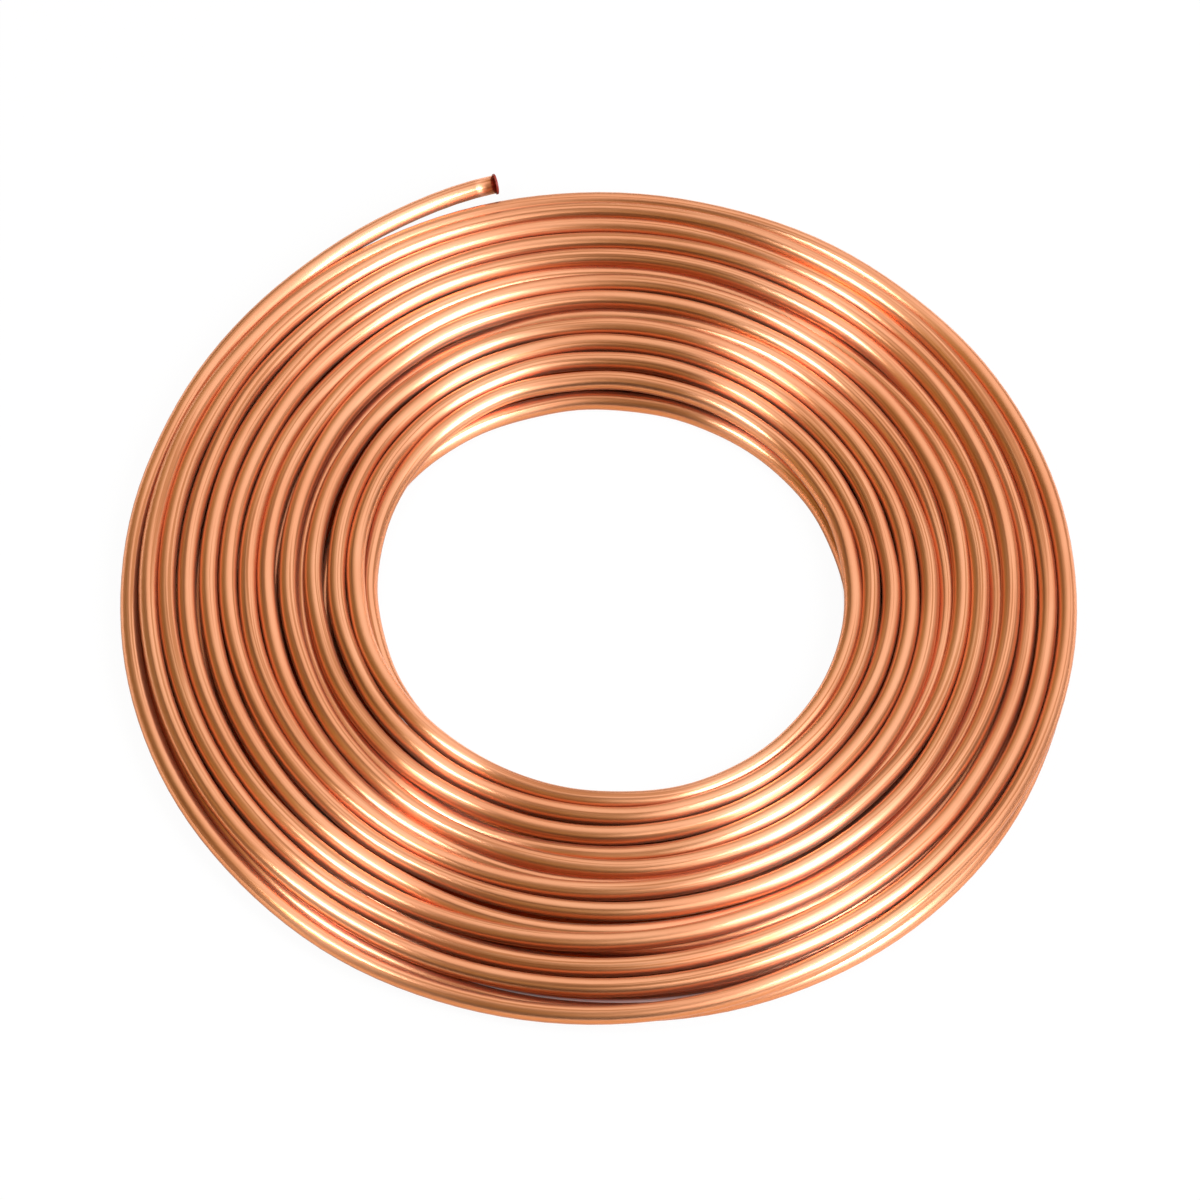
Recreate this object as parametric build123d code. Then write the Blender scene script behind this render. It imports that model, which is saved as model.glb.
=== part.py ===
from build123d import *
import math
import os

# Copper tube coil: one length of soft annealed tube, wound flat in two layers round an open eye.
# Units are millimetres. The origin is on the coil's axis, at the level that the coil lies on, +Z up.
# Angles are degrees round +Z from +X. Seen from above, the tube runs inward counter-clockwise
# through the upper layer, drops at the eye, and runs outward counter-clockwise in the lower one.
#
# Each layer is turned in two halves, far (0 to 180 degrees) and near (180 to 360 degrees). The near
# half has its centre half a pitch to one side, so that each turn of one half runs on into the next
# turn of the other, as in a wound coil. The two layers meet in the plane between them, and the
# hidden space between the tubes is filled. The free ends are real, hollow tube, closed by plugs.

# Tube: quarter-inch soft copper tube, as sold for refrigeration, gas and oil lines
TUBE_OD = 6.35
TUBE_WALL = 0.76

# Winding: the upper layer is close, the lower one looser
UPPER_TURNS = 12
UPPER_TURN_GAP = 0.15          # between neighbouring turns, on average
LOWER_TURNS = 9
LOWER_TURN_GAP = 2.12
OUTER_TURN_RADIUS = 155.5      # centre line of the upper layer's outermost turn, far half
CONTACT_FLAT = 0.1             # depth pressed flat where a turn lies on the other layer
GROOVE_DEPTH = 2.15            # from the crown of a turn down to the floor of the groove beside it

# Crossing: the half turn in the eye that leads from the upper layer down to the lower one
CROSSING_INSET = 6.0           # half way round, inward of the upper layer's innermost turn
CROSSING_OUTSET = 2.75         # from half way round out to the lower layer's innermost turn
CROSSING_LIFT = 0.15           # over its layer, so that it clears the lower turns that it crosses

# Upper free end: runs on clockwise from the left of the coil and springs outward
UPPER_END_STOPS_AT = 106.0
UPPER_END_GAP = 5.35           # from the outermost turn of its layer out to the tube at its cut end
UPPER_END_LIFT = 0.5           # of the cut end over its layer

# Lower free end: runs on counter-clockwise from the right of the coil, close to the winding
LOWER_END_STOPS_AT = 80.0
LOWER_END_GAP = 4.74           # from the outermost turn of its layer out to the tube at its cut end

# Plug of red plastic, pushed into each cut end
PLUG_FLANGE_DIAMETER = 7.2
PLUG_FLANGE_THICKNESS = 0.8
PLUG_RIM_ROUND = 0.25
PLUG_SHANK_LENGTH = 8.0
PLUG_CLEARANCE = 0.05          # between the shank and the bore of the tube, all round

# Worked out from the sizes above
tube_radius = TUBE_OD / 2
bore_radius = tube_radius - TUBE_WALL
plug_radius = PLUG_FLANGE_DIAMETER / 2
upper_pitch = TUBE_OD + UPPER_TURN_GAP
lower_pitch = TUBE_OD + LOWER_TURN_GAP
layer_rise = TUBE_OD - 2 * CONTACT_FLAT
lower_level = tube_radius
upper_level = lower_level + layer_rise
middle_level = (lower_level + upper_level) / 2
coil_height = upper_level + tube_radius

# From the coil's axis to the middle of the tube, the turns measured on their far half
upper_inner_radius = OUTER_TURN_RADIUS - upper_pitch * (UPPER_TURNS - 1)
crossing_radius = upper_inner_radius - CROSSING_INSET
lower_inner_radius = crossing_radius + CROSSING_OUTSET
lower_outer_radius = lower_inner_radius + lower_pitch * (LOWER_TURNS - 1)
upper_end_radius = OUTER_TURN_RADIUS + TUBE_OD + UPPER_END_GAP
lower_end_radius = lower_outer_radius + TUBE_OD + LOWER_END_GAP

AWAY = Vector(0, 1, 0)         # from the near side to the far side


def place(radius, angle, height):
    """Point at a radius and angle round the coil's axis."""
    turn = math.radians(angle)
    return Vector(radius * math.cos(turn), radius * math.sin(turn), height)


def layer_section(turns, outermost, pitch, level, centre):
    """Section through one layer's turns, cut off at the plane where the two layers meet."""
    radii = [outermost - pitch * turn for turn in range(turns)]
    outward = 1 if level > middle_level else -1
    floor = level + outward * (tube_radius - GROOVE_DEPTH)
    crown = level + outward * tube_radius
    width = radii[0] - radii[-1]
    with BuildSketch(Plane.XZ) as section:
        with Locations([(centre + radius, level) for radius in radii]):
            Circle(tube_radius)
        with Locations((centre + radii[-1] + width / 2, (floor + middle_level) / 2)):
            Rectangle(width, abs(floor - middle_level))
        with Locations((centre + radii[-1] + width / 2, (crown + middle_level) / 2)):
            Rectangle(width + TUBE_OD, abs(crown - middle_level), mode=Mode.INTERSECT)
    return section.sketch


def half_layer(turns, outermost, pitch, level, centre):
    """One layer's half turns over the far side, round a centre that may lie beside the coil's axis."""
    section = layer_section(turns, outermost, pitch, level, centre)
    return revolve(section, Axis(origin=(centre, 0, 0), direction=(0, 0, 1)), 180)


def layer(turns, outermost, pitch, level, inward):
    """Far and near half of one layer, wound inward (1) or outward (-1) counter-clockwise."""
    far = half_layer(turns, outermost, pitch, level, 0)
    near = half_layer(turns, outermost + pitch / 2, pitch, level, -inward * pitch / 2)
    return [far, mirror(near, about=Plane.XZ)]


def end_route(root, tip):
    """Arc that a free end follows, straight away from the near half and round to its cut end."""
    return Edge.make_tangent_arc(root, AWAY, tip)


def two_arcs(start, start_heading, stop, stop_heading):
    """Two arcs that meet smoothly and leave and arrive in the given headings."""
    gap = stop - start
    headings = start_heading + stop_heading
    turning = 2 * (1 - start_heading.dot(stop_heading))
    along = gap.dot(headings)
    reach = (math.sqrt(along ** 2 + turning * gap.dot(gap)) - along) / turning
    meeting = (start + start_heading * reach + stop - stop_heading * reach) / 2
    first = Edge.make_tangent_arc(start, start_heading, meeting)
    return [first, Edge.make_tangent_arc(meeting, first % 1, stop)]


def crossing_route():
    """Half turn round the eye: level over the lower turns first, then down beside them."""
    start = Vector(-upper_inner_radius, 0, upper_level + CROSSING_LIFT)
    half_way = Vector(0, -crossing_radius, upper_level + CROSSING_LIFT)
    level_arc = Edge.make_tangent_arc(start, -AWAY, half_way)
    stop = Vector(lower_inner_radius, 0, lower_level)
    return [level_arc] + two_arcs(half_way, level_arc % 1, stop, AWAY)


def round_bar(route, radius):
    """Round bar along a route."""
    return sweep(Plane(origin=route @ 0, z_dir=route % 0) * Circle(radius), path=route)


def plug(route):
    """Plug in the end of a route: a shank that follows the tube's bore, and a flange on the cut end."""
    shank_route = route.trim(1 - PLUG_SHANK_LENGTH / route.length, 1)
    shank = round_bar(shank_route, bore_radius - PLUG_CLEARANCE)
    seat = Plane(origin=route @ 1, z_dir=route % 1)
    flange = extrude(seat * Circle(plug_radius), PLUG_FLANGE_THICKNESS)
    flange = fillet(flange.edges().filter_by(GeomType.CIRCLE), PLUG_RIM_ROUND)
    return shank + flange


winding = layer(UPPER_TURNS, OUTER_TURN_RADIUS, upper_pitch, upper_level, inward=1)
winding += layer(LOWER_TURNS, lower_outer_radius, lower_pitch, lower_level, inward=-1)

upper_route = end_route(
    Vector(-OUTER_TURN_RADIUS - upper_pitch, 0, upper_level),
    place(upper_end_radius, UPPER_END_STOPS_AT, upper_level + UPPER_END_LIFT),
)

# The lower end rests on the rim of its plug, which is wider than the tube
lower_route = end_route(
    Vector(lower_outer_radius + lower_pitch, 0, lower_level),
    place(lower_end_radius, LOWER_END_STOPS_AT, plug_radius),
)

free_ends = [round_bar(route, tube_radius) - round_bar(route, bore_radius)
             for route in (upper_route, lower_route)]
crossing = [round_bar(arc, tube_radius) for arc in crossing_route()]

coil = winding[0]
for piece in winding[1:] + free_ends + crossing:
    coil = coil + piece

pieces = {
    "copper_tube_coil": coil,
    "end_plug_upper": plug(upper_route),
    "end_plug_lower": plug(lower_route),
}

os.makedirs("parts", exist_ok=True)
for name, solid in pieces.items():
    solid.label = name
    export_step(solid, f"parts/{name}.step")
    print(name, "solids", len(solid.solids()), "volume", round(solid.volume, 1), "valid", solid.is_valid)

expected = sum(piece.volume for piece in winding + free_ends + crossing)
print("volume of the pieces of the coil added up", round(expected, 1))
print("height", round(coil_height, 2), "layer rise", round(layer_rise, 2))
print("pitch of the upper layer", round(upper_pitch, 2), "and of the lower one", round(lower_pitch, 2))
for name, route in (("upper end", upper_route), ("lower end", lower_route)):
    print(name, "length", round(route.length, 1), "bend radius", round(route.radius, 1))
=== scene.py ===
# %% [markdown]
# # A coil of soft copper tube, as a lesson
#
# The object is one long tube of soft, annealed copper, wound flat round an open eye and lying on a
# white floor, as such tube is stored and sold. A red plug closes each cut end.
#
# The solids of the part come in first. They fix the size and the place of everything, so a new
# piece goes where the solids say, in metres.

import math

import bpy
import numpy as np
from mathutils import Matrix, Vector


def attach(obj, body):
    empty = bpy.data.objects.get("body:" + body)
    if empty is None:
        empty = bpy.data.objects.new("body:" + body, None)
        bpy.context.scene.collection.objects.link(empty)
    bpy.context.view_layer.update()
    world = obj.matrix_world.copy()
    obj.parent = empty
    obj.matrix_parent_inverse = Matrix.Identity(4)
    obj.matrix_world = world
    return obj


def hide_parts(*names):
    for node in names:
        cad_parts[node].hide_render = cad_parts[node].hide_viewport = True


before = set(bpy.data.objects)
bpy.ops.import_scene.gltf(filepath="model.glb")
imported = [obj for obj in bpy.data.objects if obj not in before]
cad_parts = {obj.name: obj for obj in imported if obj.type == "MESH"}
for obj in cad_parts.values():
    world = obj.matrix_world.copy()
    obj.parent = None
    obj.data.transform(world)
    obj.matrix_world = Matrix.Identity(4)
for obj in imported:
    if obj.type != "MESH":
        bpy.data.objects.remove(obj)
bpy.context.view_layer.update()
print("nodes:", sorted(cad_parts))

# %% [markdown]
# ## Sizes
#
# The tube is quarter-inch tube, 6.35 mm across with a wall of 0.76 mm. The coil's sizes are in
# millimetres, because that is how tube is measured in a workshop, and one function turns them to
# metres where the scene needs them. The room, the lamps and the camera are placed in metres.

# %% Sizes of the tube in millimetres
TUBE_OD = 6.35
TUBE_WALL = 0.76
PRESSED_IN = 0.2               # where a turn lies on another, both are pressed in a little
TUBE_RADIUS = TUBE_OD / 2
BORE_RADIUS = TUBE_RADIUS - TUBE_WALL
LAYER_RISE = TUBE_OD - PRESSED_IN
LOWER_LEVEL = TUBE_RADIUS
UPPER_LEVEL = LOWER_LEVEL + LAYER_RISE
PLUG_RADIUS = 3.6              # over its flange, on which the lower end rests


def metres(millimetres):
    return millimetres / 1000


print("tube", TUBE_OD, "x", TUBE_WALL, "mm, layers", round(LAYER_RISE, 2), "mm apart")

# %% [markdown]
# ## Where each turn lies
#
# A hand-wound coil is never an even spiral. Here and there a turn slips down between its
# neighbours, and the gap that it leaves is the dark line that one sees. So each upper turn gets its
# distance from the middle of the coil at eight stations round it, read off the photograph, and a
# smooth curve joins them. The lower layer hardly shows, and six stations a turn are enough for it.
# A formula for an even spiral would be shorter, but its gaps would all be alike, and it would look
# like a machined disc.
#
# Angles are degrees round the coil from the right-hand side, counter-clockwise seen from above.
# The tube starts at its upper free end, goes round counter-clockwise and inward in the upper
# layer, drops at the eye, and comes outward again in the lower layer.

# %% The upper layer: distance from the middle, and how far each turn is raised or sunk
UPPER_STATIONS = (180, 240, 270, 308, 360, 420, 450, 480)
UPPER_TURNS = (
    (158.4, 161.3, 160.3, 156.1, 154.7, 156.7, 157.4, 156.4),
    (152.4, 152.7, 151.2, 148.8, 148.2, 151.4, 152.4, 151.3),
    (146.3, 145.2, 143.7, 141.1, 141.7, 146.3, 146.9, 145.0),
    (139.7, 137.6, 134.4, 132.2, 135.6, 139.9, 140.0, 138.4),
    (132.5, 130.8, 130.0, 128.2, 131.1, 133.6, 133.7, 132.1),
    (125.9, 123.1, 122.7, 123.6, 125.3, 128.9, 128.6, 125.6),
    (119.5, 116.6, 115.3, 115.4, 119.4, 123.4, 123.3, 120.2),
    (113.3, 110.9, 111.1, 111.4, 114.3, 116.5, 116.4, 114.3),
    (105.9, 105.4, 106.5, 108.0, 108.7, 110.5, 111.2, 109.7),
    (101.7, 99.9, 100.3, 101.5, 102.2, 104.4, 105.5, 104.5),
    (97.6, 94.4, 93.9, 94.6, 95.6, 97.7, 98.7, 97.4),
    (89.9, 86.9, 86.6, 87.9, 88.9, 90.9, 91.9, 90.6),
    (83.6, 80.0, 80.2, 81.9, 83.1, 83.7, 83.9, 84.0),
)
LIFTS = {
    0: (-3.7, -3.4, -2.0, 0, 0, 0, -0.5, -1.1),
    1: (0, 0, 0, 0, 0, 0.8, 0.8, 0.8),
    2: (0, 0, 0, 0, -1.5, -1.6, -0.3, 0.8),
    3: (0, 0, 0, 0, 0.9, 0.9, 0.9, 0.8),
    4: (0, 0, -1.9, -4.9, -2.5, 0, 0.4, 0.8),
    5: (0, 0, 0, 0, 0.6, -4.5, -2.7, -0.8),
    6: (0, 0, 0, 0, 0, 0, 0.4, 0.8),
    7: (0, -2.3, -3.4, -5.0, -2.9, 0, 0.4, 0.8),
    8: (0, 0, 0, 0, 0, -0.7, -2.8, -4.8),
    9: (-4.8, -4.1, -2.4, 0, 0, 0.8, 0.5, 0),
    10: (0, 0, 0, 0, 0, 0.8, 0.4, 0),
    12: (0, 0, -0.8, -2.0, 0, 0, 0, 0),
}
LEVEL_ALL_ROUND = (0, 0, 0, 0, 0, 0, 0, 0)
print("upper layer:", len(UPPER_TURNS), "turns,", len(LIFTS), "of them raised or sunk somewhere")

# %% The drop at the eye, and the lower layer, which leaves room for the turns that slip down
DROP = ((180, 79.0, -5.0), (240, 79.4, -LAYER_RISE), (308, 86.0, -LAYER_RISE))
LOWER_STATIONS = (0, 60, 120, 180, 240, 308)
LOWER_TURNS = (
    (84.0, 80.5, 80.5, 85.2, 85.8, 93.0),
    (91.0, 88.0, 88.0, 93.3, 93.3, 101.5),
    (102.5, 104.5, 116.4, 110.5, 116.6, 119.6),
    (122.5, 121.8, 122.5, 123.5, 129.5, 134.8),
    (136.4, 137.0, 135.0, 135.6, 138.2, 142.0),
    (142.6, 144.0, 142.5, 142.6, 146.0, 149.5),
    (149.0, 151.0, 150.0, 152.3, 155.2, 157.0),
)
print("lower layer:", len(LOWER_TURNS), "turns")

# %% [markdown]
# ## The free ends
#
# Both ends stop where the solids have them, because the plugs sit there. The upper end springs
# outward from the winding over its last quarter turn. The lower end stays close in, behind the
# coil. An end points along the axis of its plug, so the curve gets that heading too.

# %% The two ends: station, distance from the middle, and height over the floor
UPPER_END = (
    (106, 167.2, UPPER_LEVEL + 0.5),
    (120, 163.8, UPPER_LEVEL + 0.2),
    (135, 161.0, UPPER_LEVEL - 1.0),
    (150, 159.3, UPPER_LEVEL - 2.4),
    (165, 158.6, UPPER_LEVEL - 3.3),
)
LOWER_END = (
    (0, 153.8, LOWER_LEVEL),
    (20, 154.7, LOWER_LEVEL),
    (40, 156.6, LOWER_LEVEL + 0.05),
    (60, 158.5, LOWER_LEVEL + 0.2),
    (80, 159.6, PLUG_RADIUS),
)
UPPER_END_HEADING = 2.41       # degrees outward from the winding, at the cut end
LOWER_END_HEADING = 1.13
print("the ends stop at", UPPER_END[0][0], "and", LOWER_END[-1][0], "degrees")


# %% String the stations together in the order in which the tube runs
def stations_in_order():
    """Degrees turned, distance from the middle and height of each station along the tube."""
    route = list(UPPER_END)
    for number, radii in enumerate(UPPER_TURNS):
        lifts = LIFTS.get(number, LEVEL_ALL_ROUND)
        for station, radius, lift in zip(UPPER_STATIONS, radii, lifts):
            route.append((station + 360 * number, radius, UPPER_LEVEL + lift))
    start = 360 * len(UPPER_TURNS)
    for station, radius, drop in DROP:
        route.append((station + start, radius, UPPER_LEVEL + drop))
    start += 360
    for radii in LOWER_TURNS:
        for station, radius in zip(LOWER_STATIONS, radii):
            route.append((station + start, radius, LOWER_LEVEL))
        start += 360
    for station, radius, height in LOWER_END:
        route.append((station + start, radius, height))
    return np.array(route).T


turned, radii, heights = stations_in_order()
print(len(turned), "stations over", round((turned[-1] - turned[0]) / 360, 1), "turns")

# %% [markdown]
# ## A smooth curve through the stations
#
# The radius follows a cubic spline, whose bends change evenly, as a bent tube does. The height is
# eased from one station to the next, so that it never swings over the heights that it joins.

# %% Cubic spline with a given slope at each end, and an easing
def spline(at, values, first_slope, last_slope, where):
    """Values at other places, on a curve whose bend never jumps."""
    step = np.diff(at)
    rise = np.diff(values) / step
    count = len(at)
    matrix = np.zeros((count, count))
    wanted = np.zeros(count)
    matrix[0, 0] = matrix[-1, -1] = 1
    wanted[0], wanted[-1] = first_slope, last_slope
    for i in range(1, count - 1):
        matrix[i, i - 1:i + 2] = step[i], 2 * (step[i - 1] + step[i]), step[i - 1]
        wanted[i] = 3 * (step[i] * rise[i - 1] + step[i - 1] * rise[i])
    slopes = np.linalg.solve(matrix, wanted)
    i = np.clip(np.searchsorted(at, where) - 1, 0, count - 2)
    t = (where - at[i]) / step[i]
    first = values[i] * (2 * t ** 3 - 3 * t ** 2 + 1) + values[i + 1] * (3 * t ** 2 - 2 * t ** 3)
    second = step[i] * (slopes[i] * (t ** 3 - 2 * t ** 2 + t) + slopes[i + 1] * (t ** 3 - t ** 2))
    return first + second


def eased(at, values, where):
    """Values at other places, level at each of the given ones."""
    i = np.clip(np.searchsorted(at, where) - 1, 0, len(at) - 2)
    t = (where - at[i]) / (at[i + 1] - at[i])
    return values[i] + (values[i + 1] - values[i]) * t * t * (3 - 2 * t)


QUARTER_WAY = 0.25
changed = eased(np.array([0, 1]), np.array([0, 1]), QUARTER_WAY)
print("share of the change in height a quarter of the way on:", round(changed, 3))

# %% Radius and height at each ring of the tube
DEGREES_A_RING = 2.5


def heading_slope(radius, degrees_outward):
    """Change of radius for each degree round the coil."""
    return radius * math.tan(math.radians(degrees_outward)) * math.radians(1)


ring_count = int((turned[-1] - turned[0]) / DEGREES_A_RING) + 1
where = np.linspace(turned[0], turned[-1], ring_count)
radius = spline(turned, radii, -heading_slope(radii[0], UPPER_END_HEADING),
                heading_slope(radii[-1], LOWER_END_HEADING), where)
height = eased(turned, heights, where)
print("radius from", round(radius.min(), 1), "to", round(radius.max(), 1), "mm")

# %% Small waves, which soft tube keeps from its unrolling and rewinding
WAVINESS = 0.07
WAVELENGTHS = (23, 31, 47, 71)     # degrees round the coil, chosen so that they never keep step
HEIGHT_SHARE = 0.6             # of a wave, because each turn lies on something
HEIGHT_RAISED = 0.2            # by this much of its wave, so that it rises more than it sinks
STEADY_DEGREES = 40            # the waves fade in over these, from each cut end

random = np.random.default_rng(seed=5)
ends_fade = np.clip(np.minimum(where - where[0], where[-1] - where) / STEADY_DEGREES, 0, 1)
for wavelength in WAVELENGTHS:
    phase = random.uniform(0, 2 * math.pi, 2)
    wave = 2 * math.pi * where / wavelength
    radius += WAVINESS * ends_fade * np.sin(wave + phase[0])
    height += HEIGHT_SHARE * WAVINESS * ends_fade * (np.sin(wave + phase[1]) + HEIGHT_RAISED)
print(len(WAVELENGTHS), "waves, up to", round(len(WAVELENGTHS) * WAVINESS, 2), "mm together")

# %% Centre line of the whole tube, nowhere below the floor
height = np.maximum(height, LOWER_LEVEL)
angle = np.radians(where)
centre_line = np.stack([radius * np.cos(angle), radius * np.sin(angle), height], axis=1)
lengths = np.linalg.norm(np.diff(centre_line, axis=0), axis=1)
along = np.concatenate([[0], np.cumsum(lengths)])
print("tube length", round(along[-1] / 1000, 2), "m,", ring_count, "rings")

# %% [markdown]
# ## The tube's skin
#
# The skin is a ring of points swept along the centre line. A curve object with a round bevel would
# do that too, but here the ends have to be cut square and hollow, and the drawing lines of the
# finish need to know how far along and how far round the tube each point is. So the rings are laid
# one by one: the outer skin, then the cut face, then a short way back down the bore.

# %% Rings along the centre line
SIDES = 30
BORE_DEPTH = 12.0              # from each cut end, which is past the end of the plug's shank

tangent = np.gradient(centre_line, along, axis=0, edge_order=2)
tangent /= np.linalg.norm(tangent, axis=1)[:, None]
up = np.array([0.0, 0.0, 1.0])
sideways = np.cross(tangent, up)
sideways /= np.linalg.norm(sideways, axis=1)[:, None]
upward = np.cross(sideways, tangent)


def ring(index, ring_radius):
    turn = np.linspace(0, 2 * math.pi, SIDES, endpoint=False)
    spread = np.cos(turn)[:, None] * sideways[index] + np.sin(turn)[:, None] * upward[index]
    return centre_line[index] + ring_radius * spread


bore_rings = int(np.searchsorted(along, BORE_DEPTH)) + 1
layout = [(i, BORE_RADIUS) for i in range(bore_rings, -1, -1)]
layout += [(i, TUBE_RADIUS) for i in range(ring_count)]
layout += [(i, BORE_RADIUS) for i in range(ring_count - 1, ring_count - 2 - bore_rings, -1)]

points = np.concatenate([ring(i, r) for i, r in layout])
print("rings in all", len(layout), "points", len(points))

# %% Faces between the rings, and the closed bottom of each bore
faces = []
for row in range(len(layout) - 1):
    for side in range(SIDES):
        here = row * SIDES + side
        beside = row * SIDES + (side + 1) % SIDES
        faces.append((here, beside, beside + SIDES, here + SIDES))
faces.append(tuple(range(SIDES - 1, -1, -1)))
faces.append(tuple(len(points) - SIDES + side for side in range(SIDES)))

mesh = bpy.data.meshes.new("copper_tube")
mesh.from_pydata(metres(points).tolist(), [], faces)
mesh.polygons.foreach_set("use_smooth", [True] * len(mesh.polygons))
mesh.calc_loop_triangles()
print("triangles", len(mesh.loop_triangles))

# %% A map of how far along and how far round the tube each corner of a face is
uv_layer = mesh.uv_layers.new(name="along_and_round")
girth = metres(math.pi * TUBE_OD)
uvs = np.zeros((len(mesh.loops), 2))
loop = 0
for row in range(len(layout) - 1):
    for side in range(SIDES):
        for next_row, next_side in ((0, 0), (0, 1), (1, 1), (1, 0)):
            ring_index = layout[row + next_row][0]
            uvs[loop] = metres(along[ring_index]), (side + next_side) / SIDES * girth
            loop += 1
uv_layer.data.foreach_set("uv", uvs.ravel())
mesh.update()
print("the map is", round(uvs[:, 0].max(), 2), "m long and", round(uvs[:, 1].max(), 3), "m round")

# %% The tube, in place of the coil's solid
tube = bpy.data.objects.new("copper_tube", mesh)
bpy.context.scene.collection.objects.link(tube)
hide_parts("copper_tube_coil")
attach(tube, "root")
print("the swept tube stands for the solid of the coil")

# %% [markdown]
# ## Colours and nodes
#
# A colour is easiest to read off a photograph as an sRGB hex value, but the renderer counts in
# linear light, so one function turns the one into the other. A second function adds a node with
# its settings and links in one call, which keeps each material as short as its recipe.

# %% From a hex colour to linear light
PALE_COPPER = "#FDB184"


def colour(hex_code):
    channels = [int(hex_code[i:i + 2], 16) / 255 for i in (1, 3, 5)]
    linear = [c / 12.92 if c <= 0.04045 else ((c + 0.055) / 1.055) ** 2.4 for c in channels]
    return (*linear, 1)


print("pale copper in linear light:", [round(channel, 3) for channel in colour(PALE_COPPER)])


# %% Add a node with its settings and links
def add(tree, kind, links=(), stops=(), **settings):
    """Links pair an input's name with a socket or a value, and stops a position with a colour."""
    node = tree.nodes.new(kind)
    for name, value in settings.items():
        setattr(node, name, value)
    for name, value in links:
        if isinstance(value, bpy.types.NodeSocket):
            tree.links.new(value, node.inputs[name])
        else:
            node.inputs[name].default_value = value
    for number, (position, tone) in enumerate(stops):
        node.color_ramp.elements[number].position = position
        node.color_ramp.elements[number].color = tone
    return node


def empty_tree(owner):
    """The tree of nodes of a material or of the world, with nothing in it."""
    owner.use_nodes = True
    owner.node_tree.nodes.clear()
    return owner.node_tree


node_kinds = [name for name in dir(bpy.types) if name.startswith("ShaderNode")]
print("kinds of node to choose from:", len(node_kinds))

# %% [markdown]
# ## Annealed drawn copper
#
# The tube was drawn through a die, which scores fine lines along it, and then annealed, which
# leaves it soft, clean and pinkish. Two things of that reach the eye. The lines spread each
# highlight round the tube and not along it, so a lamp shows as a bright streak across every turn
# in the same sector of the coil. And the lines are not alike: some are duller and browner, and
# they run on for centimetres.
#
# A plain glossy metal would give thin unbroken highlights all the way round the coil, which is
# how chrome looks. So the skin is a mix of two anisotropic metals, and both take their direction
# from the map of distance along and round the tube. One is fairly smooth and mirrors the
# neighbouring turns. The other is rougher, for the scored lines, and its light is paler.

# %% Scale of the drawn lines, from their real size
SCORE_WIDTH = 0.7              # real lines are finer: these are as fine as the render can show
SCORE_LENGTH = 40.0
DULL_LINE_WIDTH = 0.9
DULL_LINE_LENGTH = 140.0
PATCH_SIZE = 36.0              # slow changes of tone, from handling and from the furnace


def per_metre(size):
    """Scale that makes a noise texture's features about as large as a size in millimetres."""
    return 1000 / size


print("fine lines to a metre:", round(per_metre(SCORE_WIDTH)))
print("dull lines to a metre:", round(per_metre(DULL_LINE_WIDTH)))

# %% Where the colour comes from
PINK_COPPER = "#F59F70"
# painted shade: the flanks that face the neighbouring turns are coloured browner, for the shade between
# the turns
PAINTED_FLANK_SHADE = "#CC7228"
DULL_TINT = "#BFA473"          # laid over the colour where a line is dull
PATCH_RANGE = (0.35, 0.70)     # of the noise, from pink to pale
# the painted flank shade fades into the crown's colour over this range of the upward share
PAINTED_SHADE_RANGE = (0.15, 0.75)     # of the skin's upward share, from flank to crown
DULL_RANGE = (0.40, 0.47)      # of the noise, from dull to clean


def lines_on_tube(tree, where_on_tube, length, width, detail):
    """Noise drawn out along the tube."""
    scale = (per_metre(length), per_metre(width), 1)
    stretched = add(tree, "ShaderNodeMapping", [("Vector", where_on_tube), ("Scale", scale)])
    return add(tree, "ShaderNodeTexNoise", [
        ("Vector", stretched.outputs["Vector"]), ("Scale", 1.0), ("Detail", detail)]).outputs["Fac"]


def copper_colour(tree, where_on_tube):
    """Pinkish copper in slow patches, with painted shade browning its flanks, and dull lines along it.
    """
    place = add(tree, "ShaderNodeTexCoord")
    patches = add(tree, "ShaderNodeTexNoise", [
        ("Vector", place.outputs["Object"]), ("Scale", per_metre(PATCH_SIZE)), ("Detail", 4.0)])
    tone = add(tree, "ShaderNodeValToRGB", [("Fac", patches.outputs["Fac"])],
               zip(PATCH_RANGE, (colour(PINK_COPPER), colour(PALE_COPPER))))

    # Painted shade: the flanks, which face the next turn, are coloured browner than the crown, to stand
    # for the shade that falls between the turns
    normal = add(tree, "ShaderNodeSeparateXYZ", [("Vector", place.outputs["Normal"])])
    crown = add(tree, "ShaderNodeMapRange", [
        ("Value", normal.outputs["Z"]), ("From Min", PAINTED_SHADE_RANGE[0]), ("From Max", PAINTED_SHADE_RANGE[1])],
        interpolation_type="SMOOTHSTEP")
    skin = add(tree, "ShaderNodeMix", [
        ("Factor", crown.outputs["Result"]), (6, colour(PAINTED_FLANK_SHADE)), (7, tone.outputs["Color"])],
        data_type="RGBA")

    lines = lines_on_tube(tree, where_on_tube, DULL_LINE_LENGTH, DULL_LINE_WIDTH, 2.0)
    dull = add(tree, "ShaderNodeValToRGB", [("Fac", lines)],
               zip(DULL_RANGE, (colour(DULL_TINT), colour("#FFFFFF"))))
    return add(tree, "ShaderNodeMix", [
        ("Factor", 1.0), (6, skin.outputs[2]), (7, dull.outputs["Color"])],
        data_type="RGBA", blend_type="MULTIPLY").outputs[2]


print("copper from", PINK_COPPER, "to", PALE_COPPER, "and on its flanks", PAINTED_FLANK_SHADE)

# %% The copper
SCORED_COPPER = "#FFC8A2"
SCORED_SHARE = 0.24            # of the light, from the scored lines
ACROSS = 0.25                 # of a whole turn: highlights spread round the tube, not along it


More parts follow.
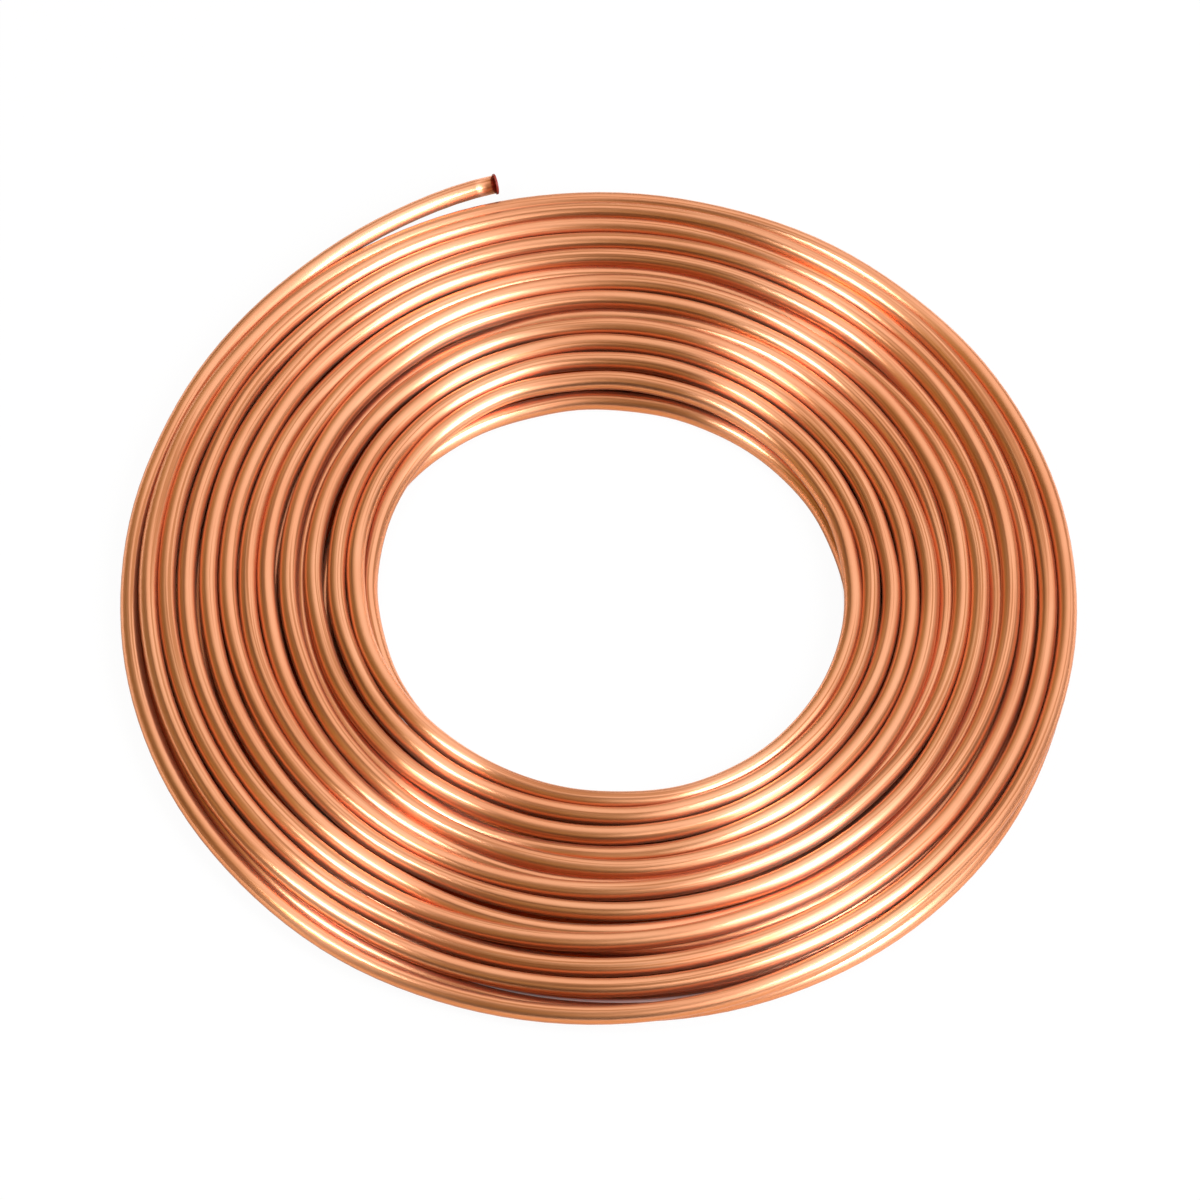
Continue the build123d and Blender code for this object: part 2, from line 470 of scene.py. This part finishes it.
def annealed_drawn_copper():
    material = bpy.data.materials.new("annealed_drawn_copper")
    tree = empty_tree(material)
    where_on_tube = add(tree, "ShaderNodeUVMap", uv_map="along_and_round").outputs["UV"]
    fine = lines_on_tube(tree, where_on_tube, SCORE_LENGTH, SCORE_WIDTH, 3.0)
    roughness = add(tree, "ShaderNodeMapRange", [("Value", fine), ("To Min", 0.19), ("To Max", 0.26)])
    bump = add(tree, "ShaderNodeBump", [("Height", fine), ("Strength", 0.09), ("Distance", metres(0.1))])
    lay = add(tree, "ShaderNodeTangent", direction_type="UV_MAP", uv_map="along_and_round")
    drawn = [("Metallic", 1.0), ("Anisotropic Rotation", ACROSS),
             ("Tangent", lay.outputs["Tangent"]), ("Normal", bump.outputs["Normal"])]
    smooth = add(tree, "ShaderNodeBsdfPrincipled", drawn + [
        ("Base Color", copper_colour(tree, where_on_tube)),
        ("Roughness", roughness.outputs["Result"]), ("Anisotropic", 0.82)])
    scored = add(tree, "ShaderNodeBsdfPrincipled", drawn + [
        ("Base Color", colour(SCORED_COPPER)), ("Roughness", 0.38), ("Anisotropic", 0.97)])
    skin = add(tree, "ShaderNodeMixShader", [
        (0, SCORED_SHARE), (1, smooth.outputs["BSDF"]), (2, scored.outputs["BSDF"])])
    add(tree, "ShaderNodeOutputMaterial", [("Surface", skin.outputs["Shader"])])
    return material


copper = annealed_drawn_copper()
mesh.materials.append(copper)
print(copper.name, "has", len(copper.node_tree.nodes), "nodes")

# %% [markdown]
# ## Moulded polyethylene
#
# The plugs are moulded in dark red polyethylene, a soft plastic with a waxy, half-matt skin. Its
# index of refraction is about 1.51. A little light goes in and comes out again, and the mould
# leaves a faint grain. The solids already have the right shape, so they only get this material.

# %% The plastic of the plugs
MOULD_GRAIN = 1.1              # real grain is a tenth of this, too fine to show
DARK_RED = "#7E1F18"
LIGHT_RED = "#A33A2B"


def moulded_polyethylene():
    material = bpy.data.materials.new("moulded_red_polyethylene")
    tree = empty_tree(material)
    place = add(tree, "ShaderNodeTexCoord")
    grain = add(tree, "ShaderNodeTexNoise", [
        ("Vector", place.outputs["Object"]), ("Scale", per_metre(MOULD_GRAIN)), ("Detail", 3.0)])
    tone = add(tree, "ShaderNodeValToRGB", [("Fac", grain.outputs["Fac"])],
               ((0.0, colour(DARK_RED)), (1.0, colour(LIGHT_RED))))
    bump = add(tree, "ShaderNodeBump", [
        ("Height", grain.outputs["Fac"]), ("Strength", 0.3), ("Distance", metres(0.1))])
    skin = add(tree, "ShaderNodeBsdfPrincipled", [
        ("Base Color", tone.outputs["Color"]), ("Roughness", 0.45), ("IOR", 1.51),
        ("Subsurface Weight", 0.1), ("Subsurface Scale", metres(2)), ("Normal", bump.outputs["Normal"])])
    add(tree, "ShaderNodeOutputMaterial", [("Surface", skin.outputs["BSDF"])])
    return material


plastic = moulded_polyethylene()
for name in ("end_plug_upper", "end_plug_lower"):
    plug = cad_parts[name]
    plug.data.materials.clear()
    plug.data.materials.append(plastic)
    print(name, "is", plastic.name)

# %% [markdown]
# ## The floor
#
# The coil lies on white card that is lit until it leaves no edge. More lamps would do that too,
# but they would bleach the copper. So the camera sees a card that glows at a strength of 1, which
# is white, and every other ray meets plain matt card. Under the coil the card is in the shade of
# the copper and takes its colour, so there the glow fades out and the tone turns to copper brown.

# %% White card, shaded under the coil
EYE_EDGE = (80.0, 84.0)        # distance from the middle over which the glow fades out
RIM_EDGE = (150.0, 157.0)      # and over which it comes back
GLOW_SHARE = 0.95              # the rest is matt card, which keeps the shadow
CARD_REACH = 6.0               # metres, from the middle to each edge
CARD_BELOW = 0.2               # millimetres under the coil, so that no face lies in the card
WHITE_CARD = "#EDEBE8"
COPPER_SHADE = "#B8420F"       # of the card under the coil


def white_card():
    material = bpy.data.materials.new("white_card")
    tree = empty_tree(material)
    place = add(tree, "ShaderNodeTexCoord")
    far_out = add(tree, "ShaderNodeVectorMath", [(0, place.outputs["Object"])], operation="LENGTH")
    in_eye = add(tree, "ShaderNodeMapRange", [
        ("Value", far_out.outputs["Value"]), ("From Min", metres(EYE_EDGE[0])),
        ("From Max", metres(EYE_EDGE[1])), ("To Min", 1.0), ("To Max", 0.0)])
    past_rim = add(tree, "ShaderNodeMapRange", [
        ("Value", far_out.outputs["Value"]), ("From Min", metres(RIM_EDGE[0])),
        ("From Max", metres(RIM_EDGE[1]))])
    clear = add(tree, "ShaderNodeMath", [
        (0, in_eye.outputs["Result"]), (1, past_rim.outputs["Result"])], operation="MAXIMUM")
    path = add(tree, "ShaderNodeLightPath")
    seen = add(tree, "ShaderNodeMath", [
        (0, path.outputs["Is Camera Ray"]), (1, clear.outputs["Value"])], operation="MULTIPLY")
    share = add(tree, "ShaderNodeMath", [
        (0, seen.outputs["Value"]), (1, GLOW_SHARE)], operation="MULTIPLY")
    tone = add(tree, "ShaderNodeMix", [
        ("Factor", clear.outputs["Value"]), (6, colour(COPPER_SHADE)), (7, colour(WHITE_CARD))],
        data_type="RGBA")
    matt = add(tree, "ShaderNodeBsdfDiffuse", [("Color", tone.outputs[2])])
    glow = add(tree, "ShaderNodeEmission", [("Strength", 1.0)])
    card = add(tree, "ShaderNodeMixShader", [
        (0, share.outputs["Value"]), (1, matt.outputs["BSDF"]), (2, glow.outputs["Emission"])])
    add(tree, "ShaderNodeOutputMaterial", [("Surface", card.outputs["Shader"])])
    return material


card = white_card()
print(card.name, "glows out of the shade, within", EYE_EDGE[0], "mm and past", RIM_EDGE[1], "mm")

# %% The card itself
corners = [(x * CARD_REACH, y * CARD_REACH, 0) for x, y in ((-1, -1), (1, -1), (1, 1), (-1, 1))]
floor_mesh = bpy.data.meshes.new("floor")
floor_mesh.from_pydata(corners, [], [(0, 1, 2, 3)])
floor_mesh.materials.append(card)
floor = bpy.data.objects.new("floor", floor_mesh)
floor.location.z = -metres(CARD_BELOW)
bpy.context.scene.collection.objects.link(floor)
print("floor of", 2 * CARD_REACH, "m")

# %% [markdown]
# ## The room
#
# A metal shows what stands round it, so most of the copper's colour on screen is the room's. This
# room is bright above and to the right, and brown and dim to the left, in front and near the
# floor, as a photographer's room is behind the lamps. Dim patches in it, one of them straight
# overhead, put the darker bands on the turns. An image of a room would do the same job. Here it is
# a few soft fields of colour, each multiplied over the ones before, because a field can be moved or
# dimmed by one value.

# %% Fields of colour round the coil
RIGHT = (0.80, 0.30, 0.50)
UP = (0.0, 0.0, 1.0)
RIGHT_LOW = (0.97, 0.10, 0.22)
LEFT_HIGH = (-0.72, 0.30, 0.62)
OVERHEAD = (-0.10, -0.20, 0.97)
FRONT_LOW = (-0.10, -0.97, 0.15)
FULL = (1.0, 1.0, 1.0)

# Each row is a way, then two cosines of the angle from it, each with the field's linear tone there
FIELDS = (
    (RIGHT, 0.0, (0.39, 0.29, 0.08), 0.75, (1.0, 1.0, 1.03)),
    (UP, 0.0, (0.64, 0.49, 0.34), 0.6, FULL),
    (RIGHT_LOW, 0.82, FULL, 0.98, (0.40, 0.31, 0.20)),
    (LEFT_HIGH, 0.90, FULL, 0.985, (0.45, 0.38, 0.24)),
    (OVERHEAD, 0.90, FULL, 0.985, (0.40, 0.33, 0.20)),
    (FRONT_LOW, 0.70, FULL, 0.95, (0.17, 0.12, 0.06)),
)
print(len(FIELDS), "fields of colour")

# %% The room, as all the fields multiplied
world = bpy.data.worlds.new("studio")
bpy.context.scene.world = world
tree = empty_tree(world)
direction = add(tree, "ShaderNodeTexCoord").outputs["Generated"]
room = (*FULL, 1)
for way, begins, first, ends, last in FIELDS:
    facing = add(tree, "ShaderNodeVectorMath", [(0, direction), (1, way)], operation="DOT_PRODUCT")
    field = add(tree, "ShaderNodeValToRGB", [("Fac", facing.outputs["Value"])],
                ((begins, (*first, 1)), (ends, (*last, 1))))
    field.color_ramp.interpolation = "EASE"
    room = add(tree, "ShaderNodeMix", [("Factor", 1.0), (6, room), (7, field.outputs["Color"])],
               data_type="RGBA", blend_type="MULTIPLY").outputs[2]
print("the room has", len(tree.nodes), "nodes")

# %% What the camera itself sees past the floor is white
ROOM_STRENGTH = 1.15

path = add(tree, "ShaderNodeLightPath")
plain_white = (1 / ROOM_STRENGTH, 1 / ROOM_STRENGTH, 1 / ROOM_STRENGTH, 1)
seen = add(tree, "ShaderNodeMix", [
    ("Factor", path.outputs["Is Camera Ray"]), (6, room), (7, plain_white)], data_type="RGBA")
background = add(tree, "ShaderNodeBackground", [("Color", seen.outputs[2]), ("Strength", ROOM_STRENGTH)])
add(tree, "ShaderNodeOutputWorld", [("Surface", background.outputs["Background"])])
print("room strength", ROOM_STRENGTH)

# %% [markdown]
# ## The lamps
#
# The bright streaks lie in four sectors of the coil, two near and two far. Each lamp makes one
# pair, so there are two: a large soft one to the front right and a narrow one to the left. A wide,
# weak lamp behind the soft one makes the glow beside its streaks.

# %% Lamps, all turned towards the middle of the coil: place and size in metres, and watts
LAMP_TINT = (0.9, 0.97, 1.1)   # a little cool, against the warm room
LAMPS = (
    ("softbox_right", (0.945, -0.56, 1.10), (0.48, 0.80), 17),
    ("halo_right", (1.20, -0.75, 1.27), (1.90, 1.90), 7),
    ("strip_left", (-0.70, -0.33, 1.28), (0.22, 0.50), 7),
)
for name, place, size, watts in LAMPS:
    light = bpy.data.lights.new(name, "AREA")
    light.shape = "RECTANGLE"
    light.size, light.size_y = size
    light.energy = watts
    light.color = LAMP_TINT
    lamp = bpy.data.objects.new(name, light)
    lamp.location = place
    lamp.rotation_euler = (-Vector(place)).to_track_quat("-Z", "Y").to_euler()
    lamp.visible_camera = False
    bpy.context.scene.collection.objects.link(lamp)
    print(name, watts, "W")

# %% [markdown]
# ## The camera
#
# The camera looks down on the coil from the front, from far off and through a long lens, so the
# coil's outline is nearly a true ellipse. It is tilted a little to one side, as the photograph is.

# %% Which way the camera looks
ELEVATION = math.radians(58.5)
ROLL = math.radians(-3.4)

level = Vector((1, 0, 0))
over = Vector((0, math.sin(ELEVATION), math.cos(ELEVATION)))
camera_right = level * math.cos(ROLL) - over * math.sin(ROLL)
camera_up = level * math.sin(ROLL) + over * math.cos(ROLL)
camera_back = camera_right.cross(camera_up)
print("the camera looks along", [round(-value, 2) for value in camera_back])

# %% The camera, at the photograph's angle
DISTANCE = 3.006               # metres, from the point that it looks at
AIM = Vector((-0.00143, -0.00147, 0.0062))
LENS = 270.0                   # millimetres, on a sensor of ordinary width
SENSOR_WIDTH = 36

camera_data = bpy.data.cameras.new("camera")
camera_data.lens = LENS
camera_data.sensor_width = SENSOR_WIDTH
camera = bpy.data.objects.new("camera", camera_data)
axes = Matrix((camera_right, camera_up, camera_back)).transposed().to_4x4()
camera.matrix_world = Matrix.Translation(AIM + camera_back * DISTANCE) @ axes
bpy.context.scene.collection.objects.link(camera)
bpy.context.scene.camera = camera
bpy.context.scene.view_settings.view_transform = "Standard"
print("camera at", [round(value, 2) for value in camera.matrix_world.translation])

# %% [markdown]
# ## The end
#
